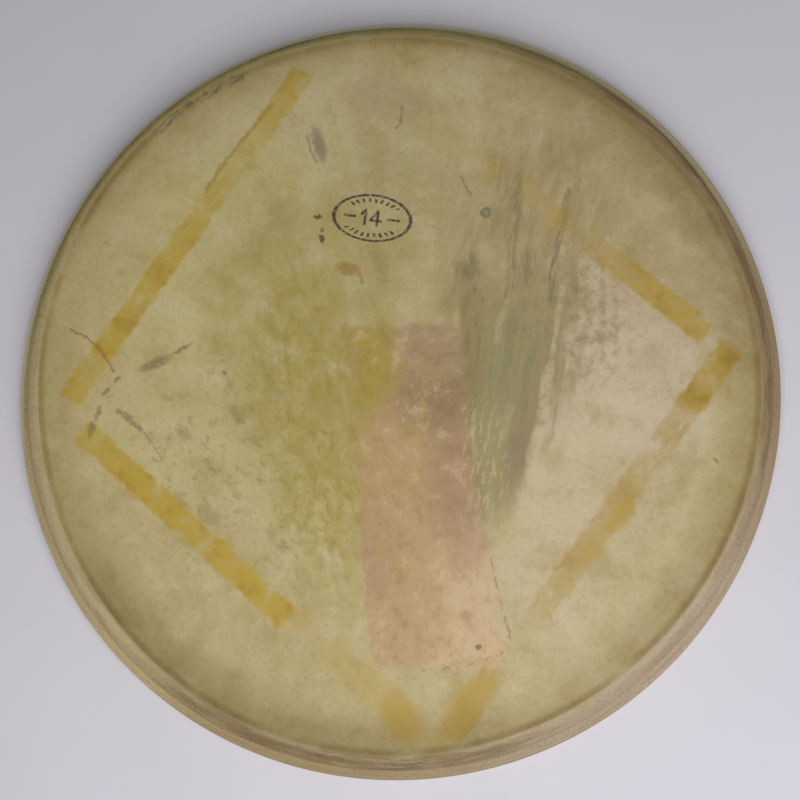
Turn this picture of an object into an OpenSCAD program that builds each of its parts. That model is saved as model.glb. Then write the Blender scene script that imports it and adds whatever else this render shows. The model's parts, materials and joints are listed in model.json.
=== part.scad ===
// Calfskin drum head, lapped on a wooden flesh hoop.
//
// One wet hide was laid over a bent hoop, folded round its outer face, under it and up its
// inner face, and its end was tucked over the hoop's top, below the hide that leads to the
// playing face. It dried on a drum, so it kept the collar: a flat playing face, a rounded
// edge and a short upright wall down to the hoop. The hoop is one strip, scarfed, glued and
// pinned. +Z is the playing side and z = 0 is the underside of the lapped hoop.

/* [Fit on the drum] */
// Outer radius of the drum shell that the head goes on
shell_r = 177.8; // [120:0.1:230]
// Radial room between the shell and the lapped hoop
shell_gap = 0.6; // [0.2:0.1:1.5]
// Height of the playing face above the hide on top of the hoop
collar_h = 11.3; // [9:0.1:25]
// Radius that the shell's edge pressed into the underside of the hide
edge_round = 6; // [2:0.1:9]

/* [Hide] */
// Thickness of the dry hide
hide_t = 0.4; // [0.2:0.05:0.7]
// Radius of the fold at the foot of the collar, on its outer side
foot_fold_r = 1.2; // [0.8:0.1:2.5]
// Distance from the wood's outer face back to the end of the tucked hide
tuck_back = 1.9; // [1.8:0.1:2.4]
// Width of the slope where the hide drops off the tucked end
tuck_slope = 0.5; // [0.2:0.1:0.6]
// Depth of the crease that is left open between the collar and the tucked end
crease_depth = 0.7; // [0.4:0.1:1]

/* [Flesh hoop] */
// Radial thickness of the wooden strip
hoop_t = 4.8; // [4:0.1:8]
// Height of the wooden strip
hoop_h = 9.5; // [6:0.1:16]
// Width planed off the strip's four edges, which is also the radius of the hide's folds
hoop_edge_r = 1.2; // [0.8:0.1:1.3]

/* [Scarf joint] */
// Length of the overlap, along the hoop
scarf_len = 70; // [45:1:110]
// Thickness of the glue line, measured along the radius
glue_t = 0.16; // [0.1:0.02:0.3]
// Number of brads through the overlap
brad_count = 3; // [2:1:4]
// Distance between neighbouring brads, along the hoop
brad_pitch = 14; // [8:1:16]
// Radius of a brad's shank
brad_r = 0.45; // [0.3:0.05:0.7]
// Radius of a brad's head
brad_head_r = 0.9; // [0.75:0.05:1.2]
// Thickness of a brad's head
brad_head_t = 0.35; // [0.2:0.05:0.6]
// Depth of the brad's head below the hoop's outer face
brad_sink = 0.1; // [0.05:0.05:0.3]
// Wood left in front of the brad's point
brad_stop = 0.5; // [0.3:0.1:1.2]

/* [Hidden] */
$fn = 96;

// Radii, from the shell outwards
bore_r = shell_r + shell_gap;
wood_in_r = bore_r + hide_t;
wood_out_r = wood_in_r + hoop_t;
mid_r = (wood_in_r + wood_out_r) / 2;

// Heights, from the underside up
wood_top_z = hide_t + hoop_h;
tuck_top_z = wood_top_z + hide_t;
seat_z = tuck_top_z + hide_t;
face_z = seat_z + collar_h;

// The rounded edge stays within the collar's wall, which keeps a short straight stretch
collar_wall_min = 0.5;
edge_r = min(edge_round, collar_h - hide_t - foot_fold_r - collar_wall_min);
flat_r = bore_r - edge_r;
round_z = face_z - hide_t - edge_r;
foot_r = bore_r + hide_t + foot_fold_r;
foot_z = seat_z + foot_fold_r;
tuck_end_r = wood_out_r - tuck_back;

// Angle between neighbouring brads, in degrees
brad_step = brad_pitch / mid_r * 180 / PI;

// A rectangle with rounded corners, from its low corner
module rounded_rect(size, r) {
    translate([r, 0]) square([size[0] - 2 * r, size[1]]);
    translate([0, r]) square([size[0], size[1] - 2 * r]);
    for (x = [r, size[0] - r], y = [r, size[1] - r]) translate([x, y]) circle(r);
}

// A quarter turn of the hide round a fold of inner radius r. side says which quadrant.
module fold(r, side) {
    outer = r + hide_t;
    intersection() {
        difference() {
            circle(outer);
            circle(r);
        }
        translate([min(side[0], 0) * outer, min(side[1], 0) * outer]) square(outer);
    }
}

// The strip, with its four edges planed off inside the hide's round folds
module strip_section() {
    c = hoop_edge_r;
    translate([wood_in_r, hide_t])
        polygon([
            [c, 0], [hoop_t - c, 0], [hoop_t, c], [hoop_t, hoop_h - c],
            [hoop_t - c, hoop_h], [c, hoop_h], [0, hoop_h - c], [0, c]
        ]);
}

// The space inside the lapped hide, which folds round the planed edges
module lap_inside() {
    translate([wood_in_r, hide_t]) rounded_rect([hoop_t, hoop_h], hoop_edge_r);
}

// The hide once round the strip, its tucked end included
module lap_section() {
    difference() {
        translate([bore_r, 0])
            rounded_rect([hoop_t + 2 * hide_t, hoop_h + 2 * hide_t], hoop_edge_r + hide_t);
        lap_inside();
    }
}

// The hide over the tucked end, stuck to it from the crease outwards, with a slope at its end
module over_tuck_section() {
    crease_r = bore_r + crease_depth;
    slope_r = tuck_end_r + tuck_slope;
    low_z = wood_top_z - hoop_edge_r;
    difference() {
        polygon([
            [crease_r, low_z],
            [crease_r, foot_z],
            [foot_r, foot_z],
            [foot_r, seat_z],
            [tuck_end_r, seat_z],
            [slope_r, tuck_top_z],
            [slope_r, low_z]
        ]);
        lap_inside();
        translate([foot_r, foot_z]) circle(foot_fold_r);
    }
}

// Foot of the collar, its wall, the rounded edge and the playing face
module collar_section() {
    translate([foot_r, foot_z]) fold(foot_fold_r, [-1, -1]);
    translate([bore_r, foot_z]) square([hide_t, round_z - foot_z]);
    translate([flat_r, round_z]) fold(edge_r, [1, 1]);
    translate([0, face_z - hide_t]) square([flat_r, hide_t]);
}

module turned() {
    rotate_extrude($fn = 360) children();
}

module calf_skin() {
    color([0.72, 0.68, 0.48])
        union() {
            turned() lap_section();
            turned() over_tuck_section();
            turned() collar_section();
        }
}

module strip_ring() {
    turned() strip_section();
}

// The glue line climbs evenly from the strip's inner face to its outer face. A circle of
// nearly the strip's own radius does this when its centre is moved sideways by the climb
// per radian of the hoop. The film is so thin that its circles need very fine facets.
module scarf_film($fn = 720) {
    climb = hoop_t / (scarf_len / mid_r);
    film_r = norm([mid_r, climb]);
    intersection() {
        translate([0, climb, 0])
            difference() {
                cylinder(r = film_r + glue_t / 2, h = seat_z);
                translate([0, 0, -1]) cylinder(r = film_r - glue_t / 2, h = seat_z + 2);
            }
        translate([mid_r - 2 * scarf_len, -scarf_len, -1])
            cube([3 * scarf_len, 2 * scarf_len, seat_z + 2]);
    }
}

// One brad along +X from its point to its head, at half the strip's height
module brad(head_len) {
    point_x = wood_in_r + brad_stop;
    head_x = wood_out_r - brad_sink - brad_head_t;
    translate([point_x, 0, hide_t + hoop_h / 2]) rotate([0, 90, 0])
        cylinder(r = brad_r, h = head_x - point_x);
    translate([head_x, 0, hide_t + hoop_h / 2]) rotate([0, 90, 0])
        cylinder(r = brad_head_r, h = head_len);
}

module brad_row(head_len) {
    for (i = [0 : brad_count - 1])
        rotate([0, 0, brad_step * (i - (brad_count - 1) / 2)]) brad(head_len);
}

// Holes for the brads, open at the hoop's outer face
module brad_holes() {
    brad_row(brad_head_t + brad_sink + 1);
}

module flesh_hoop() {
    color([0.72, 0.53, 0.33])
        difference() {
            strip_ring();
            scarf_film();
            brad_holes();
        }
}

module scarf_glue() {
    color([0.45, 0.28, 0.10])
        difference() {
            intersection() {
                strip_ring();
                scarf_film();
            }
            brad_holes();
        }
}

module scarf_brads() {
    color([0.55, 0.56, 0.58]) brad_row(brad_head_t);
}

calf_skin();
flesh_hoop();
scarf_glue();
scarf_brads();
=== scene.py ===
import json
import math

import bpy
import numpy as np
from mathutils import Matrix, Vector


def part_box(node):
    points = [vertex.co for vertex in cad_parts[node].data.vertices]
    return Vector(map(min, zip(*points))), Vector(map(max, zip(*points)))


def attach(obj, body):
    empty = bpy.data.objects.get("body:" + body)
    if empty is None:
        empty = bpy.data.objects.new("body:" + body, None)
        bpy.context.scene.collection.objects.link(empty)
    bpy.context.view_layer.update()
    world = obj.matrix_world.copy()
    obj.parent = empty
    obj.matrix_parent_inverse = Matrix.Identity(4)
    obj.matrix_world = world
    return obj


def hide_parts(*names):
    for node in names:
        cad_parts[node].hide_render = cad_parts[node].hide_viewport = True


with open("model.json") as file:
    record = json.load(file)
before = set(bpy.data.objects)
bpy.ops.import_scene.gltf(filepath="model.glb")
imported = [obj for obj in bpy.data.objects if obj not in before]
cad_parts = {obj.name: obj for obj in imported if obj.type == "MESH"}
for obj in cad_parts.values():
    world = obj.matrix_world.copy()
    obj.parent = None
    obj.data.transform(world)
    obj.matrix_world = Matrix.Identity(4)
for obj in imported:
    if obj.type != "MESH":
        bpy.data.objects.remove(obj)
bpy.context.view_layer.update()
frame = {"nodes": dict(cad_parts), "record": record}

# ---------------------------------------------------------------------------------------
# The flesh hoop: one strip of steam-bent maple, about 3/16 by 3/8 inch, its edges planed
# off. It is hidden in the hide's lap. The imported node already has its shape, so it only
# gets its wood: long grain that follows the bend, with darker late-wood lines.


class Value:
    """A shader socket that does arithmetic. Each operator adds one Math node."""

    def __init__(self, finish, socket):
        self.finish = finish
        self.socket = socket

    def maths(self, operation, *values):
        return self.finish.node("ShaderNodeMath", {"operation": operation}, dict(enumerate(values)))

    def __add__(self, other):
        return self.maths("ADD", self, other)

    __radd__ = __add__

    def __sub__(self, other):
        return self.maths("SUBTRACT", self, other)

    def __rsub__(self, other):
        return self.maths("SUBTRACT", other, self)

    def __mul__(self, other):
        return self.maths("MULTIPLY", self, other)

    __rmul__ = __mul__

    def __truediv__(self, other):
        return self.maths("DIVIDE", self, other)

    def __pow__(self, other):
        return self.maths("POWER", self, other)

    def __abs__(self):
        return self.maths("ABSOLUTE", self)

    def lower(self, other):
        return self.maths("MINIMUM", self, other)

    def higher(self, other):
        return self.maths("MAXIMUM", self, other)

    def times_plus(self, factor, term):
        return self.maths("MULTIPLY_ADD", self, factor, term)


class Finish:
    """One material: a Principled surface and the nodes that feed it."""

    def __init__(self, name, **constants):
        self.material = bpy.data.materials.new(name)
        self.material.use_nodes = True
        self.tree = self.material.node_tree
        self.surface = self.tree.nodes["Principled BSDF"]
        for socket, value in constants.items():
            self.surface.inputs[socket.replace("_", " ")].default_value = value

    def node(self, kind, settings, sockets, out=0):
        """Adds a node of that kind, with its settings first and then its sockets' values or links."""
        made = self.tree.nodes.new(kind)
        for name, value in settings.items():
            if name == "stops":
                ramp = made.color_ramp.elements
                while len(ramp) < len(value):
                    ramp.new(0.5)
                for element, (place, colour) in zip(ramp, value):
                    element.position = place
                    element.color = colour
            else:
                setattr(made, name, value)
        for key, value in sockets.items():
            if isinstance(value, Value):
                self.tree.links.new(value.socket, made.inputs[key])
            else:
                made.inputs[key].default_value = value
        return Value(self, made.outputs[out])

    def feed(self, socket, value):
        self.tree.links.new(value.socket, self.surface.inputs[socket])

    def place(self):
        """Object coordinates, in millimetres."""
        metres = self.node("ShaderNodeTexCoord", {}, {}, "Object")
        return self.node("ShaderNodeVectorMath", {"operation": "SCALE"}, {0: metres, "Scale": 1000})

    def parts(self, vector):
        return [self.node("ShaderNodeSeparateXYZ", {}, {0: vector}, i) for i in range(3)]

    def joined(self, x, y, z):
        return self.node("ShaderNodeCombineXYZ", {}, {0: x, 1: y, 2: z})

    def noise(self, at, size, detail=2.0, roughness=0.5, dimensions="3D"):
        """Cloudy noise whose lumps are about that size, in the units of at. It stays round 0.5."""
        sockets = {"Vector": at, "Scale": 1 / size, "Detail": detail, "Roughness": roughness}
        return self.node("ShaderNodeTexNoise", {"noise_dimensions": dimensions}, sockets)

    def ease(self, value, low, high):
        """Goes smoothly from 0, where the value is low, to 1, where it is high."""
        settings = {"interpolation_type": "SMOOTHSTEP", "clamp": False}
        return self.node("ShaderNodeMapRange", settings, {0: value, 1: low, 2: high})

    def layer(self, under, colour, mask, blend="MIX"):
        """Lays a colour over the one under it where the mask is 1."""
        if not isinstance(colour, Value):
            colour = (*colour, 1.0)
        settings = {"data_type": "RGBA", "blend_type": blend}
        return self.node("ShaderNodeMix", settings, {0: mask, 6: under, 7: colour}, 2)

    def bump(self, height, distance, strength=1.0):
        """The normal of a surface that rises by distance, in metres, where the height is 1."""
        sockets = {"Height": height, "Distance": distance, "Strength": strength}
        return self.node("ShaderNodeBump", {}, sockets)


def on_node(name, finish):
    """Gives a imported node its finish."""
    frame["nodes"][name].data.materials.clear()
    frame["nodes"][name].data.materials.append(finish.material)


def bent_maple():
    """Late-wood lines at steady radii that wander along the bend, with short pores between."""
    f = Finish("bent_maple", Roughness=0.55)
    at = f.place()
    x, y, z = f.parts(at)
    flat = f.joined(x, y, 0.0)
    radius = f.node("ShaderNodeVectorMath", {"operation": "LENGTH"}, {0: flat}, "Value")
    wander = f.noise(f.joined(x * 0.02, y * 0.02, z * 0.05), 1.0)
    lines = f.noise(f.joined(x * 0.01, y * 0.01, (radius + wander * 3 + z * 0.1) * 2.2), 1.0, 3.0)
    pores = f.noise(f.joined(x * 0.12, y * 0.12, (radius + z) * 5), 1.0, 2.0)
    colour = f.layer((0.58, 0.38, 0.19, 1.0), (0.40, 0.21, 0.085), f.ease(lines, 0.45, 0.68))
    colour = f.layer(colour, (0.22, 0.10, 0.035), f.ease(pores, 0.62, 0.75) * 0.6)
    f.feed("Base Color", colour)
    f.feed("Roughness", 0.5 + lines * 0.2)
    f.feed("Normal", f.bump(lines + pores * 0.5, 0.0002))
    return f


on_node("flesh_hoop", bent_maple())

# ---------------------------------------------------------------------------------------
# The scarf joint: the strip's two ends are planed to a long taper, lapped, and held by hot
# hide glue and three steel brads driven in from outside. Both pieces are hidden too.


def hide_glue():
    """Brittle brown glue, darker where it is thick, with small bubbles in it."""
    f = Finish("hide_glue", Roughness=0.25, Coat_Weight=0.4)
    at = f.place()
    bubbles = f.node("ShaderNodeTexVoronoi", {}, {"Vector": at, "Scale": 1.4}, "Distance")
    colour = f.layer((0.20, 0.075, 0.014, 1.0), (0.06, 0.02, 0.004), f.noise(at, 6.0))
    f.feed("Base Color", f.layer(colour, (0.42, 0.22, 0.06), f.ease(bubbles, 0.25, 0.1)))
    f.feed("Normal", f.bump(bubbles, 0.0001))
    return f


def brad_steel():
    """Drawn steel wire, dull, with rust where the damp hide touched it."""
    f = Finish("brad_steel", Metallic=1.0)
    at = f.place()
    rust = f.ease(f.noise(at, 0.8, 4.0), 0.48, 0.62)
    f.feed("Base Color", f.layer((0.42, 0.42, 0.43, 1.0), (0.16, 0.06, 0.02), rust))
    f.feed("Roughness", 0.35 + rust * 0.5)
    f.feed("Metallic", 1 - rust * 0.8)
    return f


on_node("scarf_glue", hide_glue())
on_node("scarf_brads", brad_steel())

# ---------------------------------------------------------------------------------------
# The hide: one calf skin, dried hard and a little translucent. From its middle it runs out
# to the edge that the drum's shell pressed into it, down the collar, out over the hoop,
# round the hoop, and ends tucked between the hoop's top and itself.

MM = 0.001
mounts = {m["name"]: m for m in frame["record"]["mounts"]}
hide_low, hide_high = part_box("calf_skin")
strip_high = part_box("flesh_hoop")[1]
BORE_R = mounts["shell_bore"]["dims"]["r_mm"] * MM
LAP_R = mounts["counterhoop_guide"]["dims"]["r_mm"] * MM
FACE_Z = hide_high.z
SEAT_Z = mounts["counterhoop_seat"]["pos_m"][2]
HIDE_T = FACE_Z - mounts["bearing_edge_seat"]["pos_m"][2]
STRIP_OUT_R, STRIP_TOP_Z = strip_high.x, strip_high.z
# folds: at the collar's foot, and round the strip's edges
FOOT_FOLD_R, STRIP_FOLD_R = 1.2 * MM, 1.2 * MM
TUCK_END_R, TUCK_SLOPE = STRIP_OUT_R - 1.9 * MM, 0.5 * MM
# the drum's edge was uneven, so the edge it pressed is rounder towards the player:
# (waves round the head, height in mm, direction of the first crest in degrees)
EDGE_R = 6.1 * MM
EDGE_WAVES = [(1, 1.3, -110), (2, 0.45, 45), (3, 0.7, -45)]
# the face has slackened since it left the drum: it sinks inside the edge, a part of it at
# once and the rest over some width, and it undulates
SINK, SINK_WIDTH = 0.55 * MM, 11 * MM
SINK_AT_ONCE, AT_ONCE_WIDTH = 0.45, 1.6 * MM
SLACK_WAVES, SLACK, MOST_SLACK = 16, 0.036 * MM, 0.44 * MM
# the strip isn't quite round, and the lapped hide lies over it in shallow pleats
ROUND_WAVES, OUT_OF_ROUND = 7, 0.12 * MM
PLEATS, PLEAT_DEPTH = 110, 0.13 * MM
# how thick the hide is, against the rest of it, where its two layers press on each other
PRESSED = 0.94
# points round the head
AROUND = 320


def ripple(angle, count, rng):
    """An uneven ripple round the head, mostly within 1: eight waves of mixed pitch up to that count."""
    total = np.zeros_like(angle)
    for _ in range(8):
        waves = max(1, round(count * (0.4 + 0.6 * rng.random())))
        total += np.sin(waves * angle + rng.uniform(0, 2 * np.pi))
    return total / 4


def slack(x, y, rng):
    """How the slackened face lies: a sum of long, low plane waves in all directions."""
    total = np.zeros_like(x)
    for _ in range(SLACK_WAVES):
        turn, pitch = rng.uniform(0, np.pi), rng.uniform(50, 170) * MM
        ahead = x * np.cos(turn) + y * np.sin(turn)
        total += np.sin(2 * np.pi * ahead / pitch + rng.uniform(0, 2 * np.pi))
    return total * SLACK


def straight(a, b, count):
    """Points evenly from a to b, both (radius, height) for every angle; the normal is on the left."""
    t = np.linspace(0, 1, count, endpoint=False)[:, None]
    r, z = a[0] + (b[0] - a[0]) * t, a[1] + (b[1] - a[1]) * t
    length = np.hypot(b[0] - a[0], b[1] - a[1])
    normal = (-(b[1] - a[1]) / length + 0 * r, (b[0] - a[0]) / length + 0 * r)
    return r, z, *normal


def fold(centre, radius, start, end, count):
    """Points along an arc about a centre, its angles in degrees. Clockwise arcs bulge to the left."""
    t = np.radians(np.linspace(start, end, count, endpoint=False))[:, None]
    out = 1 if start > end else -1
    c, s = np.cos(t) + 0 * centre[0], np.sin(t) + 0 * centre[0]
    return centre[0] + radius * c, centre[1] + radius * s, out * c, out * s


def hide_run(angle):
    """The middle of the hide's thickness from the axis to its tucked end, for every angle.

    Gives radius, height, the normal's two parts, the stage, and how far inside the pressed
    edge each row is. The stage says how far along the hide: it is 0 on the face and then
    grows by 1 with each stretch. The pressed edge starts at 0, the collar's wall at 1, the
    fold at its foot at 2, the seat over the tucked end at 3, the slope off it at 4, the
    strip's top at 5, a fold at 6, the outer wall at 7, a fold at 8, the underside at 9, a
    fold at 10, the inner wall at 11, a fold at 12 and the tucked end at 13.
    """
    half = HIDE_T / 2
    none = np.zeros_like(angle)
    edge_r = EDGE_R + MM * sum(
        height * np.cos(n * (angle - math.radians(crest))) for n, height, crest in EDGE_WAVES
    )
    flat_r, round_z = BORE_R - edge_r, FACE_Z - HIDE_T - edge_r
    foot_r, foot_z = BORE_R + HIDE_T + FOOT_FOLD_R, SEAT_Z + FOOT_FOLD_R
    slope_r, slope_z = TUCK_END_R + TUCK_SLOPE, SEAT_Z - HIDE_T
    in_r, out_r = BORE_R + HIDE_T + STRIP_FOLD_R, STRIP_OUT_R - STRIP_FOLD_R
    low_z, top_z = hide_low.z + HIDE_T + STRIP_FOLD_R, STRIP_TOP_Z - STRIP_FOLD_R
    lap_fold = STRIP_FOLD_R + half

    def at(r, z):
        """That radius and height, for every angle."""
        return r + none, z + none

    stretches = [
        fold(at(flat_r, round_z), edge_r + half, 90, 0, 18),
        straight(at(BORE_R + half, round_z), at(BORE_R + half, foot_z), 5),
        fold(at(foot_r, foot_z), FOOT_FOLD_R + half, 180, 270, 6),
        straight(at(foot_r, SEAT_Z - half), at(TUCK_END_R, SEAT_Z - half), 4),
        straight(at(TUCK_END_R, SEAT_Z - half), at(slope_r, slope_z - half), 2),
        straight(at(slope_r, slope_z - half), at(out_r, slope_z - half), 1),
        fold(at(out_r, top_z), lap_fold, 90, 0, 6),
        straight(at(LAP_R - half, top_z), at(LAP_R - half, low_z), 7),
        fold(at(out_r, low_z), lap_fold, 0, -90, 6),
        straight(at(out_r, hide_low.z + half), at(in_r, hide_low.z + half), 5),
        fold(at(in_r, low_z), lap_fold, 270, 180, 6),
        straight(at(BORE_R + half, low_z), at(BORE_R + half, top_z), 7),
        fold(at(in_r, top_z), lap_fold, 180, 90, 6),
        straight(at(in_r, STRIP_TOP_Z + half), at(TUCK_END_R, STRIP_TOP_Z + half), 4),
    ]
    stage = [
        np.broadcast_to((i + np.arange(len(s[0])) / len(s[0]))[:, None], s[0].shape)
        for i, s in enumerate(stretches)
    ]
    # the face: rows far apart in the middle and close together near the edge
    rows = np.r_[np.linspace(0.03, 0.9, 34, endpoint=False), np.linspace(0.9, 1, 26, endpoint=False)]
    face_r = rows[:, None] * flat_r
    flat = np.zeros_like(face_r)
    face = (face_r, flat + FACE_Z - half, flat, flat + 1)
    inset = np.vstack([flat_r - face_r] + [np.zeros_like(s[0]) for s in stretches])
    run = [np.vstack([part] + [s[k] for s in stretches]) for k, part in enumerate(face)]
    return *run, np.vstack([flat] + stage), inset


def hide_mesh():
    """The run carried once round the axis: its outer side, then its inner side back to the axis."""
    rng = np.random.default_rng(14)
    angle = np.linspace(0, 2 * np.pi, AROUND, endpoint=False)
    r, z, normal_r, normal_z, stage, inset = hide_run(angle)
    on_face = stage <= 0
    sunk = SINK_AT_ONCE * (1 - np.exp(-inset / AT_ONCE_WIDTH))
    sunk = sunk + (1 - SINK_AT_ONCE) * np.clip(inset / SINK_WIDTH, 0, 1)
    lie = np.clip(slack(r * np.cos(angle), r * np.sin(angle), rng), -MOST_SLACK, MOST_SLACK)
    z = z - np.where(on_face, sunk * (SINK + lie), 0)
    lapped = np.clip(stage - 2, 0, 1)
    r = r + lapped * OUT_OF_ROUND * ripple(angle, ROUND_WAVES, rng)
    pleat = ripple(angle, PLEATS, rng) * np.clip(stage - 7, 0, 1) * np.clip(14 - stage, 0, 1)
    pleat = np.minimum(pleat, 0) * PLEAT_DEPTH
    r, z = r + normal_r * pleat, z + normal_z * pleat
    doubled = (stage >= 13) | ((stage >= 3) & (stage < 4))
    half = HIDE_T / 2 * np.where(doubled, PRESSED, 1)
    r = np.vstack([r + normal_r * half, (r - normal_r * half)[::-1]])
    z = np.vstack([z + normal_z * half, (z - normal_z * half)[::-1]])
    points = np.stack([r * np.cos(angle), r * np.sin(angle), z], axis=-1)
    rows = len(points)
    poles = [(0, 0, z[0].mean()), (0, 0, z[-1].mean())]
    vertices = np.vstack([points.reshape(-1, 3), poles])
    first = np.arange(rows - 1)[:, None] * AROUND
    here = np.arange(AROUND)
    ahead = (here + 1) % AROUND
    quads = [first + here, first + AROUND + here, first + AROUND + ahead, first + ahead]
    quads = np.stack(quads, axis=-1).reshape(-1, 4)
    last, pole = (rows - 1) * AROUND, np.full(AROUND, rows * AROUND)
    top_fan = np.stack([pole, here, ahead], axis=-1)
    low_fan = np.stack([pole + 1, last + ahead, last + here], axis=-1)
    mesh = bpy.data.meshes.new("calf_hide")
    mesh.from_pydata(vertices.tolist(), [], quads.tolist() + top_fan.tolist() + low_fan.tolist())
    mesh.polygons.foreach_set("use_smooth", np.ones(len(mesh.polygons), bool))
    attributes = {
        "stage": np.vstack([stage, stage[::-1]]),
        "inset": np.vstack([inset, inset[::-1]]) / MM,
        "outer": np.vstack([np.ones_like(stage), np.zeros_like(stage)]),
    }
    for name, values in attributes.items():
        ends = [values[0].mean(), values[-1].mean()]
        mesh.attributes.new(name, "FLOAT", "POINT").data.foreach_set(
            "value", np.r_[values.ravel(), ends].astype(np.float32)
        )
    mesh.update()
    return mesh


class Spot:
    """A place on the hide's face, in millimetres, from which stains and strokes are measured."""

    def __init__(self, finish, x, y):
        self.finish, self.x, self.y = finish, x, y

    def noise(self, size, detail=2.0, roughness=0.5):
        """Cloudy noise whose lumps are about that size. It stays round 0.5."""
        at = self.finish.joined(self.x, self.y, 0.0)
        return self.finish.noise(at, size, detail, roughness, "2D")

    def wobbled(self, size, amount, detail=3.0):
        """The spot pushed about by soft noise, so that what is drawn from it has ragged edges."""
        aside = self.noise(size, detail) - 0.5
        other = Spot(self.finish, self.y + 71.0, self.x + 13.0).noise(size, detail) - 0.5
        return Spot(self.finish, self.x + aside * amount, self.y + other * amount)

    def local(self, centre, halves, turn=0.0):
        """The spot within an area turned by some degrees: 0 in its middle and 1 at its edges."""
        c, s = math.cos(math.radians(turn)), math.sin(math.radians(turn))
        off_u, off_v = -centre[0] * c - centre[1] * s, centre[0] * s - centre[1] * c
        u = self.x.times_plus(c / halves[0], self.y.times_plus(s / halves[0], off_u / halves[0]))
        v = self.x.times_plus(-s / halves[1], self.y.times_plus(c / halves[1], off_v / halves[1]))
        return Spot(self.finish, u, v)

    def square(self):
        """The square of its distance from 0."""
        return self.x.times_plus(self.x, self.y * self.y)

    def blot(self, centre, halves, turn=0.0, soft=0.5):
        """A soft oval: 1 in the middle and fading out across its edge."""
        far = self.local(centre, halves, turn).square()
        return self.finish.ease(far, (1 + soft) ** 2, (1 - soft) ** 2)

    def stroke(self, points, width, soft=0.4):
        """A pen stroke through those points, fading out across its edge."""
        nearest = None
        for a, b in zip(points, points[1:]):
            run = Vector(b) - Vector(a)
            back = -run.dot(Vector(a)) / run.length_squared
            ahead = self.y.times_plus(run.y / run.length_squared, back)
            ahead = self.x.times_plus(run.x / run.length_squared, ahead).lower(1).higher(0)
            x, y = ahead.times_plus(-run.x, self.x - a[0]), ahead.times_plus(-run.y, self.y - a[1])
            far = Spot(self.finish, x, y).square()
            nearest = nearest.lower(far) if nearest else far
        return self.finish.ease(nearest, (width / 2 * (1 + soft)) ** 2, (width / 2 * (1 - soft)) ** 2)


class Skin(Finish):
    """The hide's finish, with the spot it colours: as it is, and pushed about a lot or a little."""

    def __init__(self, name, **constants):
        super().__init__(name, **constants)
        self.where = self.place()
        x, y, _ = self.parts(self.where)
        self.at = Spot(self, x, y)
        self.wide = self.at.wobbled(45.0, 55.0, 2.0)
        self.ragged = self.at.wobbled(7.0, 7.0)
        self.swaying = self.at.wobbled(40.0, 8.0, 1.0)
        self.torn = self.at.wobbled(5.0, 3.6, 2.0)
        self.frayed = self.at.wobbled(2.6, 2.6, 2.0)

    def attribute(self, name):
        settings = {"attribute_type": "GEOMETRY", "attribute_name": name}
        return self.node("ShaderNodeAttribute", settings, {}, "Fac")


def ground(f, marbling):
    """Cream skin with a green cast, clouded in tan and olive, and marbled finely all over."""
    clouds = f.at.noise(24.0, 4.0, 0.58)
    fine = f.at.noise(2.6, 3.0, 0.6)
    colour = (0.575, 0.48, 0.215, 1.0)
    # broad casts, each: middle, half sizes, turn, how soft, colour, strength
    casts = [
        ((-5, 132), (85, 28), -5, 0.8, (0.62, 0.54, 0.285), 0.75),
        ((-85, -28), (45, 68), 12, 0.7, (0.635, 0.545, 0.25), 0.75),
        ((-72, 62), (48, 42), 30, 0.7, (0.65, 0.575, 0.25), 0.75),
        ((0, 78), (42, 26), 0, 0.8, (0.50, 0.43, 0.19), 0.7),
        ((-36, 22), (44, 66), 12, 0.7, (0.505, 0.415, 0.15), 0.8),
        ((104, 74), (72, 62), -38, 0.8, (0.505, 0.405, 0.20), 0.85),
        ((106, -4), (34, 46), 8, 0.7, (0.67, 0.555, 0.365), 0.95),
        ((74, -62), (24, 46), -14, 0.7, (0.715, 0.60, 0.37), 0.95),
        ((108, -96), (52, 42), -45, 0.8, (0.595, 0.50, 0.28), 0.6),
        ((38, -138), (62, 24), 8, 0.8, (0.60, 0.50, 0.27), 0.6),
        ((-80, -108), (62, 30), -42, 0.8, (0.545, 0.45, 0.215), 0.6),
    ]
    for middle, halves, turn, soft, cast, strength in casts:
        colour = f.layer(colour, cast, f.wide.blot(middle, halves, turn, soft) * strength)
    colour = f.layer(colour, (0.85, 0.81, 0.70), f.ease(clouds, 0.50, 0.74) * 0.8, "MULTIPLY")
    colour = f.layer(colour, (0.70, 0.61, 0.37), f.ease(clouds, 0.46, 0.28) * 0.35)
    colour = f.layer(colour, (0.88, 0.85, 0.76), f.ease(marbling, 0.50, 0.76) * 0.75, "MULTIPLY")
    colour = f.layer(colour, (0.70, 0.61, 0.38), f.ease(marbling, 0.46, 0.28) * 0.3)
    return f.layer(colour, (0.86, 0.83, 0.74), f.ease(fine, 0.52, 0.72) * 0.6, "MULTIPLY")


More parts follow.
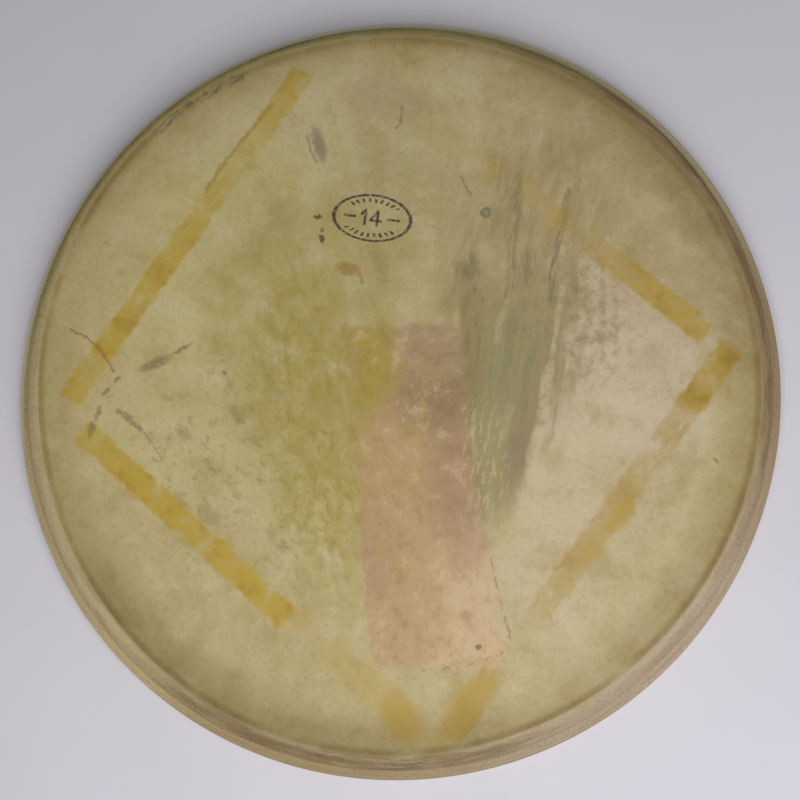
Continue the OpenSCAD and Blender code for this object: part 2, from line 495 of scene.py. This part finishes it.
def worn_patch(f, colour):
    """Where a patch was glued on and pulled off: mauve above, ochre where glue stayed, peach below."""
    x, y = f.ragged.x, f.ragged.y
    across = x - (10.0 - (y + 7.0) * 0.1)
    inside = f.ease(abs(across), 31.5, 28.5) * f.ease(y, -133.0, -129.0) * f.ease(y, 32.0, 26.0)
    stains = [
        ((40, -112), (30, 40), -10, 0.9, (0.69, 0.51, 0.285), 0.95),
        ((4, -60), (20, 52), -8, 0.8, (0.565, 0.37, 0.185), 0.7),
        ((-16, -9), (7, 9), 0, 0.8, (0.49, 0.34, 0.21), 0.7),
        ((-7, -80), (10, 15), -10, 0.8, (0.485, 0.325, 0.19), 0.6),
        ((39, -66), (7, 17), -8, 0.8, (0.51, 0.35, 0.205), 0.7),
        ((31, -26), (12, 40), -4, 0.6, (0.445, 0.295, 0.16), 0.85),
        ((22, -2), (18, 15), 10, 0.8, (0.335, 0.23, 0.11), 0.8),
        ((18, 19), (19, 13), 0, 0.7, (0.455, 0.315, 0.18), 0.9),
        ((-13, 8), (13, 23), -12, 0.6, (0.45, 0.35, 0.06), 0.95),
        ((-18.5, 10), (2.6, 17), 0, 0.7, (0.47, 0.335, 0.14), 0.7),
        ((10, -112), (13, 17), 0, 0.8, (0.55, 0.375, 0.165), 0.6),
    ]
    tint = (0.565, 0.37, 0.178, 1.0)
    for middle, halves, turn, soft, stain, strength in stains:
        tint = f.layer(tint, stain, f.ragged.blot(middle, halves, turn, soft) * strength)
    cloudy = f.at.noise(9.0, 5.0, 0.62)
    grain = f.at.local((0, 0), (1.0, 2.0), -6).noise(3.0, 5.0, 0.62)
    gluey = f.wide.blot((8, -36), (13, 42), -6, 0.8)
    tint = f.layer(tint, (0.55, 0.42, 0.135), f.ease(grain + gluey * 0.10, 0.56, 0.74) * (gluey * 0.5 + 0.25))
    tint = f.layer(tint, (0.85, 0.80, 0.76), f.ease(cloudy, 0.50, 0.68) * 0.75, "MULTIPLY")
    tint = f.layer(tint, (0.74, 0.56, 0.33), f.ease(cloudy, 0.44, 0.30) * 0.4)
    tint = f.layer(tint, (0.72, 0.56, 0.30), f.ease(grain, 0.42, 0.28) * gluey * 0.35)
    tint = f.layer(tint, (0.85, 0.80, 0.74), f.ease(grain, 0.54, 0.68) * 0.55, "MULTIPLY")
    colour = f.layer(colour, tint, inside * 0.95)
    # a dark crack follows the lower right corner
    corner = [(47, -82), (50, -96), (53, -108), (55.5, -118), (54, -124), (47, -127), (34, -131), (15, -133)]
    broken = f.ease(f.at.noise(4.0, 3.0), 0.42, 0.60)
    return f.layer(colour, (0.34, 0.22, 0.10), f.frayed.stroke(corner, 0.8, 0.9) * broken * 0.6)


def brushed_bands(f, colour):
    """Both sides of the patch are brushed: ochre and olive on its left, grey-green on its right."""
    ochre = f.ragged.blot((-36, -14), (20, 64), 9, 0.6)
    dabs = f.at.local((0, 0), (1.0, 1.7), 12).noise(6.0, 4.0, 0.62)
    colour = f.layer(colour, (0.475, 0.37, 0.09), ochre * f.ease(dabs, 0.34, 0.58) * 0.85)
    colour = f.layer(colour, (0.36, 0.29, 0.085), ochre * f.ease(dabs, 0.54, 0.68) * 0.6)
    # grey-green on the right: a wedge that narrows downwards, along the patch's edge
    streaks = f.swaying.local((0, 0), (1.0, 5.0), -11)
    broad, fine = streaks.noise(5.5, 4.0, 0.6), streaks.noise(1.8, 4.0, 0.65)
    x, y = f.ragged.x, f.ragged.y
    wedge = f.ease(x + y * 0.08, 34.0, 38.5) * f.ease(x - y * 0.31, 80.0, 72.0)
    wedge = wedge * f.ease(y - x * 0.4, -100.0, -62.0) * f.ease(y, 70.0, 30.0)
    colour = f.layer(colour, (0.375, 0.325, 0.14), wedge * 0.9)
    colour = f.layer(colour, (0.30, 0.28, 0.125), wedge * f.ragged.blot((55, 9), (15, 20), 8, 0.8) * 0.75)
    colour = f.layer(colour, (0.29, 0.22, 0.08), wedge * f.ragged.blot((38, 28), (5, 34), 2, 0.7) * 0.7)
    colour = f.layer(colour, (0.345, 0.27, 0.145), wedge * f.ragged.blot((66, -22), (7, 34), -17, 0.7) * 0.8)
    smudge = f.wide.blot((66, 54), (32, 52), -10, 0.7)
    colour = f.layer(colour, (0.44, 0.355, 0.165), smudge * f.ease(broad, 0.34, 0.62) * 0.8)
    spotted = f.ease(f.at.noise(6.0, 6.0, 0.70), 0.44, 0.68)
    rubbed = f.ragged.blot((87, 33), (20, 26), 20, 0.8)
    colour = f.layer(colour, (0.35, 0.28, 0.145), rubbed * spotted * 0.75)
    worn = (wedge * 0.5).higher(smudge * 0.8)
    colour = f.layer(colour, (0.82, 0.78, 0.68), worn * f.ease(broad, 0.46, 0.74) * 0.8, "MULTIPLY")
    colour = f.layer(colour, (0.60, 0.52, 0.30), worn * f.ease(fine, 0.46, 0.24) * 0.2)
    colour = f.layer(colour, (0.86, 0.82, 0.74), worn * f.ease(fine, 0.48, 0.74) * 0.4, "MULTIPLY")
    # single strokes: bare scratches, then dark ones, each with its width and strength
    whole = f.ease(f.at.noise(5.0, 4.0, 0.65), 0.20, 0.70)
    bare = 0
    for points, width, strength in [
        ([(82, 44), (79, 25), (75, 6)], 2.0, 0.8),
        ([(75, 6), (70, -17), (64, -46)], 3.4, 0.9),
        ([(58, 54), (55, 40), (51, 21)], 2.4, 0.45),
        ([(56.5, -9), (55, -16), (54, -24)], 2.6, 0.45),
        ([(41.5, -14), (40.5, -26), (40, -36)], 1.6, 0.5),
    ]:
        bare = (f.swaying.stroke(points, width, 0.95) * strength).higher(bare)
    colour = f.layer(colour, (0.66, 0.565, 0.32), bare * whole * 0.85)
    flecks = f.ease(fine, 0.50, 0.66) * f.ragged.blot((45, -38), (8, 24), 6, 0.9)
    colour = f.layer(colour, (0.64, 0.53, 0.26), flecks * 0.65)
    dark = f.swaying.stroke([(84, 92), (83, 76), (80, 58), (76, 40)], 2.2, 0.9)
    dark = dark.higher(f.swaying.stroke([(61, 100), (63, 82), (60, 66), (57, 52), (55, 44)], 2.6, 0.9) * 0.8)
    dark = dark.higher(f.swaying.stroke([(80, 8), (77, -12), (72, -32)], 3.6, 0.9) * 0.4)
    for middle, halves, turn, soft, strength in [
        ((37, 57), (5.0, 5.0), 30, 0.8, 0.9),
        ((42, 43), (1.6, 3.6), 25, 0.6, 1.0),
        ((66, 56), (3.5, 6.0), 0, 0.8, 0.7),
        ((54, 100), (3.5, 8.0), 10, 0.9, 0.5),
    ]:
        dark = dark.higher(f.frayed.blot(middle, halves, turn, soft) * strength)
    return f.layer(colour, (0.22, 0.185, 0.095), dark * f.ease(fine, 0.30, 0.62) * 0.68)


def freckles(f, colour):
    """Dark flecks where the brush tips landed, thick left of the patch and rare elsewhere."""
    slanted = f.at.local((0, 0), (1.0, 1.7), 50)
    large, small = slanted.noise(11.0, 6.0, 0.64), slanted.noise(4.0, 5.0, 0.66)
    zone = f.wide.blot((-56, -36), (44, 52), -35, 0.7)
    colour = f.layer(colour, (0.38, 0.31, 0.105), f.ease(large, 0.52, 0.72) * zone * 0.75)
    colour = f.layer(colour, (0.31, 0.25, 0.085), f.ease(small, 0.56, 0.72) * (zone * 0.55 + 0.06))
    pins = f.ease(f.at.noise(2.4, 2.0, 0.5), 0.72, 0.79)
    return f.layer(colour, (0.30, 0.24, 0.10), pins * 0.25)


def glue_strip(f, colour, start, end, width, tint, left):
    """What sticky tape left: amber glue from start to end. How much is left changes along it."""
    run = Vector(end) - Vector(start)
    middle = (Vector(start) + Vector(end)) / 2
    turn = math.degrees(math.atan2(run.y, run.x))
    area = f.torn.local(middle, (run.length / 2, width / 2), turn)
    stops = [(place, (1.0, 1.0, 1.0, amount)) for place, amount in left]
    amount = f.node("ShaderNodeValToRGB", {"stops": stops}, {0: area.x * 0.5 + 0.5}, "Alpha")
    body = f.ease(abs(area.y), 1.25, 0.72) * f.ease(abs(area.x), 1.02, 0.96)
    patchy = f.at.noise(13.0, 4.0, 0.55)
    amount = body * amount * f.ease(patchy, 0.10, 0.50)
    wisps = f.at.local(middle, (2.0, 1.0), turn).noise(4.5, 4.0, 0.62)
    amount = amount * f.ease(wisps + amount * 0.5, 0.42, 0.74)
    colour = f.layer(colour, tint, amount * 0.92)
    return f.layer(colour, (0.84, 0.76, 0.62), f.ease(patchy, 0.48, 0.72) * amount, "MULTIPLY"), amount


def tape_glue(f, colour):
    """A square of tape once damped the drum: four strips, worn away in places."""
    # each strip: start, end, width, colour, and pairs of a place along it and how much is left
    strips = [
        ((-156.5, -6.5), (-42, 157), 12.0, (0.55, 0.38, 0.04),
         [(0.0, 0.95), (0.09, 0.9), (0.115, 0.4), (0.14, 0.95), (0.24, 0.95), (0.27, 0.8), (0.45, 0.85),
          (0.62, 0.6), (0.72, 0.35), (0.80, 0.5), (0.85, 0.75), (0.915, 0.7), (0.93, 0.95), (1.0, 0.95)]),
        ((-149, -20), (-47, -110), 12.5, (0.55, 0.38, 0.04),
         [(0.0, 0.85), (0.05, 0.85), (0.065, 0.5), (0.085, 0.9), (0.35, 1.0), (0.57, 0.95), (0.605, 0.45),
          (0.64, 0.95), (0.93, 1.0), (1.0, 0.9)]),
        ((66, 92), (149, 22), 12, (0.50, 0.34, 0.045),
         [(0.0, 0.0), (0.15, 0.12), (0.32, 0.35), (0.36, 0.35), (0.45, 0.65), (0.7, 0.9), (1.0, 0.9)]),
        ((27, -163), (160.5, 17), 12.5, (0.47, 0.315, 0.04),
         [(0.0, 0.95), (0.10, 0.85), (0.15, 0.6), (0.18, 0.16), (0.28, 0.2), (0.33, 0.48), (0.45, 0.6),
          (0.53, 0.6), (0.56, 0.45), (0.58, 0.7), (0.63, 0.65), (0.67, 0.45), (0.82, 0.5), (0.85, 1.0),
          (0.90, 0.85), (0.94, 1.0), (1.0, 1.0)]),
    ]
    glue = 0
    for start, end, width, tint, left in strips:
        colour, amount = glue_strip(f, colour, start, end, width, tint, left)
        glue = amount.higher(glue)
    spots = 0
    for middle, halves, turn, soft, strength in [
        ((5, -154), (12, 7.5), -48, 0.6, 1.0),
        ((-8, -142), (12, 6), -48, 0.9, 0.6),
        ((-22, -130), (12, 6), -40, 0.9, 0.3),
        ((-42, -110), (4.5, 4), 0, 0.7, 0.6),
        ((34, -150), (6.5, 17), -34, 0.6, 0.8),
        ((107, -62), (4.2, 8), -36, 0.6, 0.9),
        ((94, -78), (4.5, 6), -36, 0.8, 0.6),
        ((50, 104), (4.5, 5.5), -30, 0.9, 0.4),
        ((80, 80), (5, 4), -40, 0.9, 0.6),
        ((68, 92), (8, 4), -40, 0.9, 0.35),
        ((24, 122), (14, 5), -25, 0.9, 0.3),
    ]:
        spots = (f.torn.blot(middle, halves, turn, soft) * strength).higher(spots)
    colour = f.layer(colour, (0.52, 0.36, 0.065), spots * 0.85)
    # a brown line where the dirt gathered along one torn edge
    line = f.frayed.stroke([(-58, 140), (-68, 128), (-76, 118), (-84, 107), (-90, 98)], 1.5, 0.9)
    colour = f.layer(colour, (0.42, 0.30, 0.05), line * 0.7)
    return colour, glue


def marks(f, colour):
    """Single marks: a stick's grey smear and skids, old brown drips, ink drops."""
    grey = f.frayed.stroke([(-131, -11), (-126, -15), (-120, -20)], 1.6, 0.9) * 0.9
    grey = grey.higher(f.frayed.stroke([(-120, -20), (-114, -27), (-109, -35)], 0.9, 0.9) * 0.6)
    for middle, halves, turn in [
        ((-114, 11.5), (6.5, 2.0), 24), ((-101, 18.5), (4.5, 0.8), 32), ((-144, -20), (1.2, 3.2), -12),
        ((-141, -12), (1.0, 3.0), -20), ((-137.5, -2), (2.2, 1.0), 40), ((-132, 4.5), (1.8, 0.8), 35),
        ((-127, -14), (2.6, 1.5), -35),
    ]:
        grey = grey.higher(f.frayed.blot(middle, halves, turn, 0.7))
    broken = f.ease(f.at.noise(1.8, 3.0, 0.6), 0.16, 0.50)
    colour = f.layer(colour, (0.25, 0.20, 0.095), grey * broken * 0.75)
    brown = f.frayed.stroke([(-156, 29), (-148, 25), (-141, 19), (-136, 12), (-134, 8)], 1.1)
    colour = f.layer(colour, (0.27, 0.17, 0.06), brown * 0.6)
    wedge = f.frayed.blot((-35, 119), (2.4, 7.5), 16, 0.7)
    wedge = wedge.higher(f.frayed.stroke([(-41, 124), (-39, 116), (-36, 110)], 1.1) * 0.7)
    colour = f.layer(colour, (0.235, 0.215, 0.125), wedge * 0.72)
    smear = f.frayed.blot((-20.5, 56.5), (5.0, 2.8), -12, 0.5)
    smear = smear.higher(f.frayed.stroke([(-16, 56), (-13, 50)], 1.8) * 0.8)
    colour = f.layer(colour, (0.38, 0.225, 0.05), smear * 0.75)
    colour = f.layer(colour, (0.44, 0.325, 0.16), f.ragged.blot((-2, 141), (17, 10), -10, 0.7) * 0.5)
    colour = f.layer(colour, (0.25, 0.19, 0.09), f.frayed.stroke([(6, 137), (5, 129), (3, 126)], 1.4) * 0.5)
    # a ring from a wet bottle top, and a short skid that leads to it
    ring = f.ease(abs(f.frayed.local((46, 83), (2.4, 2.4)).square() - 0.65), 0.9, 0.2)
    ring = ring.higher(f.frayed.stroke([(34, 101), (37, 95), (39, 92)], 0.9) * 0.7)
    colour = f.layer(colour, (0.20, 0.20, 0.105), ring * 0.8)
    drops = f.frayed.blot((-35, 82.5), (1.9, 1.3), 0, 0.4)
    drops = drops.higher(f.frayed.blot((-33, 71.5), (1.3, 1.6), 20, 0.4))
    drops = drops.higher(f.frayed.blot((-33, 76), (0.9, 1.0), 0, 0.5) * 0.7)
    colour = f.layer(colour, (0.08, 0.07, 0.04), drops * 0.85)
    dots = f.frayed.blot((41, -122), (1.0, 1.1), 0, 0.6)
    dots = dots.higher(f.frayed.blot((35.5, -108), (2.2, 1.8), 20, 0.9) * 0.4)
    dots = dots.higher(f.frayed.blot((151, -37), (1.5, 0.5), -10, 0.6) * 0.8)
    dots = dots.higher(f.frayed.blot((-79.5, 6.5), (1.2, 1.0), 0, 0.5) * 0.8)
    return f.layer(colour, (0.22, 0.12, 0.055), dots * 0.8)


def size_stamp(f, colour):
    """A rubber stamp in black ink: an oval line, two arcs of ticks, and the size in inches."""
    shaky = f.at.wobbled(1.5, 0.7, 1.0)
    area = shaky.local((-8.7, 81.4), (19.0, 11.4), -8)
    far = area.square() ** 0.5
    line = f.ease(abs(far - 0.985), 0.062, 0.03)
    teeth = area.y.maths("ARCTAN2", area.y, area.x) * 30.0
    ticks = f.ease(abs(far - 0.76), 0.10, 0.07) * f.ease(teeth.maths("SINE", teeth), 0.1, 0.4)
    ticks = ticks * f.ease(abs(area.y), 0.42, 0.5)
    pen = shaky.local((-8.7, 81.4), (1.0, 1.0), -8)
    figures = pen.stroke([(-5.2, 1.6), (-3.4, 3.4), (-3.4, -3.4)], 1.3)
    figures = figures.higher(pen.stroke([(2.6, -3.4), (2.6, 3.4), (-0.8, -1.2), (4.4, -1.2)], 1.3))
    figures = figures.higher(pen.stroke([(-13.5, 0), (-8.5, 0)], 1.1))
    figures = figures.higher(pen.stroke([(8.0, 0), (13.0, 0)], 1.1))
    taken = f.ease(f.at.noise(2.2, 3.0, 0.6), 0.28, 0.55)
    ink = line.higher(ticks).higher(figures)
    return f.layer(colour, (0.055, 0.05, 0.035), ink * (0.45 + taken * 0.5))


class Rim:
    """Where a point at the rim lies round the head, and the noises that the rim's dirt and painted shade
    follow.
    """

    def __init__(self, f, stage, inset):
        self.finish, self.stage, self.inset = f, stage, inset
        x, y = f.at.x, f.at.y
        radius = f.at.square() ** 0.5
        self.east, self.north = x / radius, y / radius
        # clouds, streaks and hairlines that run round with the rim, and creases pulled across it
        self.slow = f.noise(f.joined(x * 0.016, y * 0.016, 0.0), 1.0, 2.0)
        self.streak = f.noise(f.joined(x * 0.035, y * 0.035, stage * 2.4), 1.0, 3.0, 0.6)
        self.hair = f.noise(f.joined(x * 0.06, y * 0.06, stage * 9.0), 1.0, 3.0, 0.6)
        self.pulled = f.noise(f.joined(self.east * 60, self.north * 60, stage * 0.4), 1.0, 4.0, 0.6)
        self.far_side = self.toward(75, 0.2, 0.85)

    def toward(self, degrees, low, high):
        """1 on the side of the head that lies in that direction, and 0 away from it."""
        a = math.radians(degrees)
        along = self.east.times_plus(math.cos(a), self.north * math.sin(a))
        return self.finish.ease(along, low, high)


def face_edge_shading(f, rim, colour):
    """Painted shade: the face is painted darker towards the rim, and darkest in a line just inside the
    pressed edge.
    """
    # painted shade: the face darkens towards the rim, more on the far side and on the right
    painted_rim_shade = 0.6 + rim.far_side * 0.3 + rim.toward(0, 0.4, 0.9) * 0.4 + (rim.slow - 0.5) * 1.0
    painted_rim_shade = (f.ease(rim.inset, 26.0, 2.0) * painted_rim_shade).lower(1).higher(0)
    colour = f.layer(colour, (0.76, 0.72, 0.64), painted_rim_shade, "MULTIPLY")
    # painted shade inside the rim on the lower left
    shade = f.ease(rim.inset, 28.0, 3.0) * rim.toward(245, 0.6, 0.97)
    colour = f.layer(colour, (0.74, 0.71, 0.65), shade, "MULTIPLY")
    # painted shade just inside the rim at the far side
    far_shade = f.ease(rim.inset, 8.0, 1.5) * rim.toward(92, 0.1, 0.7)
    colour = f.layer(colour, (0.80, 0.79, 0.73), far_shade, "MULTIPLY")
    # painted shade: a broken dark line just inside the pressed edge
    line = f.ease(rim.inset, 4.6, 1.8) * f.ease(rim.inset, 0.0, 0.9) * (0.95 - rim.far_side * 0.45)
    broken = f.ease(rim.slow + rim.streak, 0.65, 1.05)
    return f.layer(colour, (0.72, 0.66, 0.56), line * broken, "MULTIPLY")


def rim_ground(f, rim):
    """From the pressed edge outwards: pinkish near the player, olive far away. From the seat outwards it is
    painted paler on the far side, painted light where the raised face shades it.
    """
    colour = f.layer((0.50, 0.40, 0.19, 1.0), (0.50, 0.395, 0.27), rim.toward(318, 0.6, 0.95))
    colour = f.layer(colour, (0.44, 0.35, 0.225), rim.toward(286, 0.85, 0.98) * 0.8)
    colour = f.layer(colour, (0.40, 0.295, 0.15), rim.toward(20, 0.6, 0.95))
    colour = f.layer(colour, (0.45, 0.39, 0.185), rim.toward(95, 0.55, 0.95))
    colour = f.layer(colour, (0.52, 0.435, 0.175), rim.toward(152, 0.6, 0.95) * 0.8)
    colour = f.layer(colour, (0.60, 0.49, 0.26), rim.toward(205, 0.75, 0.97) * 0.8)
    colour = f.layer(colour, (0.38, 0.285, 0.14), rim.toward(260, 0.85, 0.99) * 0.75)
    # painted light: paler from the seat outwards on the far side, where the raised face shades it
    seat = f.ease(rim.stage, 2.4, 3.1)
    return f.layer(colour, (0.64, 0.56, 0.32), seat * rim.toward(95, 0.0, 0.6) * 0.85)


def crest_and_trough(f, rim, colour):
    """The pressed edge's crest is painted paler, a painted highlight, most of all on the lower left, and
    painted shade darkens it on the far side. Dark brown lies below it, down to the collar's foot.
    """
    # painted highlight: the crest painted paler, least at the upper right
    crest = f.ease(rim.stage, 0.34, 0.05) * rim.toward(248, -0.55, 0.1)
    colour = f.layer(colour, (0.56, 0.455, 0.27), crest * 0.6)
    # painted shade on the crest and the collar's top at the far side
    shaded = rim.toward(108, 0.25, 0.75) * f.ease(rim.stage, 1.2, 0.5)
    colour = f.layer(colour, (0.80, 0.78, 0.68), shaded, "MULTIPLY")
    # how far up the edge the dark brown reaches, and how strong it is
    reach = rim.toward(25, 0.35, 0.85) * 0.58 + rim.toward(256, 0.70, 0.96) * 0.46 + rim.far_side * 0.1
    trough = f.ease(rim.stage + reach, 0.24, 0.52) * f.ease(rim.stage, 3.3, 2.6)
    trough = trough * (1 - rim.toward(238, 0.45, 0.9) * f.ease(rim.stage, 0.6, 1.3) * 0.8)
    # darker brown in the trough, strongest on the right and at the bottom
    trough_darkness = 0.10 + rim.toward(28, 0.62, 0.93) * 0.66 + rim.toward(262, 0.80, 0.97) * 0.70
    trough_darkness = trough_darkness + rim.far_side * 0.05
    colour = f.layer(colour, (0.20, 0.13, 0.05), trough * trough_darkness * f.ease(rim.streak, 0.16, 0.62) * 0.9)
    # dirt gathered along the step where the hide drops off the tucked end
    step = f.ease(rim.stage, 3.7, 4.1) * f.ease(rim.stage, 5.1, 4.9) * rim.toward(-85, -0.4, 0.4)
    colour = f.layer(colour, (0.27, 0.20, 0.10), step * f.ease(rim.hair, 0.40, 0.60) * 0.4)
    return colour, trough


def rim_streaks(f, rim, colour, trough):
    """Streaks and hairlines round the rim, grit, creases at the far left and black smudges there."""
    colour = f.layer(colour, (0.84, 0.79, 0.71), f.ease(rim.streak, 0.44, 0.70) * 0.7, "MULTIPLY")
    colour = f.layer(colour, (0.80, 0.75, 0.67), f.ease(rim.hair, 0.54, 0.70) * 0.7, "MULTIPLY")
    colour = f.layer(colour, (0.68, 0.58, 0.41), f.ease(rim.hair, 0.42, 0.30) * 0.25)
    grit = f.ease(f.at.noise(1.5, 3.0, 0.65), 0.50, 0.68)
    colour = f.layer(colour, (0.80, 0.76, 0.68), grit * 0.7, "MULTIPLY")
    creases = f.ease(rim.pulled, 0.40, 0.70) * rim.toward(130, 0.1, 0.9) * 0.7
    colour = f.layer(colour, (0.86, 0.85, 0.74), creases, "MULTIPLY")
    smudges = f.ease(rim.streak + rim.pulled * 0.4, 0.62, 0.84) * rim.toward(124, 0.90, 0.985) * trough
    return f.layer(colour, (0.13, 0.11, 0.05), smudges * 0.7)


def lapped_hoop(f, rim, colour):
    """The lap: clouded, dark in its pleats and grey where the counterhoop rubbed its outer wall. Its top is
    painted paler on the far side, painted light, and its top fold carries a line of painted shade at the near
    side and on the right.
    """
    # painted light: the lap's top painted paler on the far side, where the lamp leaves it in shade
    far_fold_light = f.ease(rim.stage, 4.6, 5.8) * rim.toward(128, 0.35, 0.85)
    colour = f.layer(colour, (0.72, 0.68, 0.43), far_fold_light * 0.85)
    # painted shade: a dark line round the top fold, at the near side and on the right
    fold_shade_line = f.ease(rim.stage, 6.1, 6.6) * (rim.toward(266, 0.75, 0.96) + rim.toward(20, 0.7, 0.96) * 0.7)
    colour = f.layer(colour, (0.33, 0.25, 0.13), fold_shade_line * 0.75)
    wall = f.ease(rim.stage, 6.8, 7.2)
    colour = f.layer(colour, (0.56, 0.47, 0.27), wall * 0.6)
    colour = f.layer(colour, (0.40, 0.32, 0.17), wall * f.ease(rim.slow, 0.40, 0.62) * 0.55)
    rubbed = f.ease(abs(rim.stage - 7.3), 0.38, 0.08) * f.ease(rim.hair, 0.38, 0.62)
    colour = f.layer(colour, (0.27, 0.24, 0.17), wall * rubbed * 0.6)
    return f.layer(colour, (0.74, 0.68, 0.58), wall * f.ease(rim.pulled, 0.48, 0.70) * 0.8, "MULTIPLY")


def rim_and_collar(f, colour, stage, inset):
    """The rim from just inside the pressed edge, down the collar and round the lapped hoop."""
    rim = Rim(f, stage, inset)
    colour = face_edge_shading(f, rim, colour)
    beyond, trough = crest_and_trough(f, rim, rim_ground(f, rim))
    beyond = rim_streaks(f, rim, beyond, trough)
    beyond = lapped_hoop(f, rim, beyond)
    colour = f.layer(colour, beyond, f.ease(stage - inset * 0.1, -0.12, 0.12))
    # dark scuffs across the pressed edge, at the far left
    scuffs = f.frayed.stroke([(-116, 127), (-108, 134), (-99, 141)], 2.6, 0.9)
    scuffs = scuffs.higher(f.frayed.stroke([(-94, 144), (-84, 150), (-73, 155)], 3.2, 0.9) * 0.75)
    scraped = f.at.local((0, 0), (4.0, 1.0), 38).noise(1.6, 4.0, 0.65)
    return f.layer(colour, (0.13, 0.105, 0.05), scuffs * f.ease(scraped, 0.46, 0.60) * 0.75)


def calf_hide_finish():
    """Everything on the outer side, and a paler, fibrous flesh side through which it shows faintly."""
    f = Skin("calf_hide", Specular_IOR_Level=0.3)
    stage, inset, outer = f.attribute("stage"), f.attribute("inset"), f.attribute("outer")
    marbling = f.at.noise(11.0, 5.0, 0.62)
    colour = freckles(f, ground(f, marbling))
    colour = worn_patch(f, colour)
    colour = brushed_bands(f, colour)
    colour, glue = tape_glue(f, colour)
    colour = marks(f, colour)
    colour = size_stamp(f, colour)
    colour = rim_and_collar(f, colour, stage, inset)
    fibres = f.at.local((0, 0), (1.0, 5.0), 25).noise(0.9, 4.0, 0.65)
    flesh = f.layer(colour, (0.60, 0.51, 0.30), 0.62)
    flesh = f.layer(flesh, (0.45, 0.34, 0.17), f.ease(fibres, 0.5, 0.68) * 0.5)
    f.feed("Base Color", f.layer(flesh, colour, outer))
    f.feed("Roughness", 0.62 - glue * 0.12 + (marbling - 0.5) * 0.3 + (1 - outer) * 0.12)
    pores = f.noise(f.where, 0.45, 2.0, 0.5)
    f.feed("Normal", f.bump(marbling * 1.2 + pores * 0.35 + (1 - outer) * fibres * 0.8, 0.00025, 0.6))
    return f


hide = bpy.data.objects.new("calf_hide", hide_mesh())
bpy.context.scene.collection.objects.link(hide)
hide.data.materials.append(calf_hide_finish().material)
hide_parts("calf_skin")
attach(hide, "root")

# ---------------------------------------------------------------------------------------
# The table, the light and the camera: a plain pale floor, one soft light above the player's
# side and a pale room, and a camera almost straight above, leaning towards the player.

# half the floor's width, in metres
FLOOR = 3.0
corners = [(-FLOOR, -FLOOR, 0), (FLOOR, -FLOOR, 0), (FLOOR, FLOOR, 0), (-FLOOR, FLOOR, 0)]
floor_mesh = bpy.data.meshes.new("floor")
floor_mesh.from_pydata(corners, [], [(0, 1, 2, 3)])
floor = bpy.data.objects.new("floor", floor_mesh)
bpy.context.scene.collection.objects.link(floor)


def pale_floor():
    """A pale board with a trace of violet, clouded very slightly."""
    f = Finish("pale_floor", Roughness=0.9)
    clouds = f.noise(f.place(), 60.0, 3.0)
    f.feed("Base Color", f.layer((0.74, 0.735, 0.76, 1.0), (0.80, 0.79, 0.83), clouds))
    return f


floor.data.materials.append(pale_floor().material)


def soft_light(name, direction, height, distance, size, power, colour):
    """A square area light, aimed at the head from a compass direction in degrees."""
    lamp = bpy.data.lights.new(name, "AREA")
    lamp.size = size
    lamp.energy = power
    lamp.color = colour
    holder = bpy.data.objects.new(name, lamp)
    a, e = math.radians(direction), math.radians(height)
    away = Vector((math.cos(a) * math.cos(e), math.sin(a) * math.cos(e), math.sin(e)))
    holder.location = away * distance
    holder.rotation_euler = away.to_track_quat("Z", "Y").to_euler()
    bpy.context.scene.collection.objects.link(holder)


soft_light("window", -70, 59, 0.85, 0.75, 5.7, (1.0, 0.98, 1.05))
world = bpy.data.worlds.new("room")
world.use_nodes = True
world.node_tree.nodes["Background"].inputs["Color"].default_value = (1.0, 1.0, 0.94, 1.0)
world.node_tree.nodes["Background"].inputs["Strength"].default_value = 0.17
bpy.context.scene.world = world
bpy.context.scene.view_settings.view_transform = "Standard"

# the camera leans towards direction -58.7 degrees by LEAN from the head's axis
LEAN, LEAN_DIRECTION, CAMERA_DISTANCE = math.radians(9.3), math.radians(-58.7), 0.65
AIM = Vector((3.7 * MM, -5.5 * MM, 8 * MM))
camera_data = bpy.data.cameras.new("camera")
camera_data.sensor_width, camera_data.lens = 36, 59.7
camera_data.clip_start, camera_data.clip_end = 0.02, 20
camera = bpy.data.objects.new("camera", camera_data)
bpy.context.scene.collection.objects.link(camera)
out = math.sin(LEAN) * CAMERA_DISTANCE
camera.location = (
    out * math.cos(LEAN_DIRECTION),
    out * math.sin(LEAN_DIRECTION),
    math.cos(LEAN) * CAMERA_DISTANCE,
)
ahead = (AIM - camera.location).normalized()
right = ahead.cross(Vector((0, 1, 0))).normalized()
above = right.cross(ahead)
turned = Matrix((right, above, -ahead)).transposed()
camera.rotation_euler = turned.to_euler()
bpy.context.scene.camera = camera
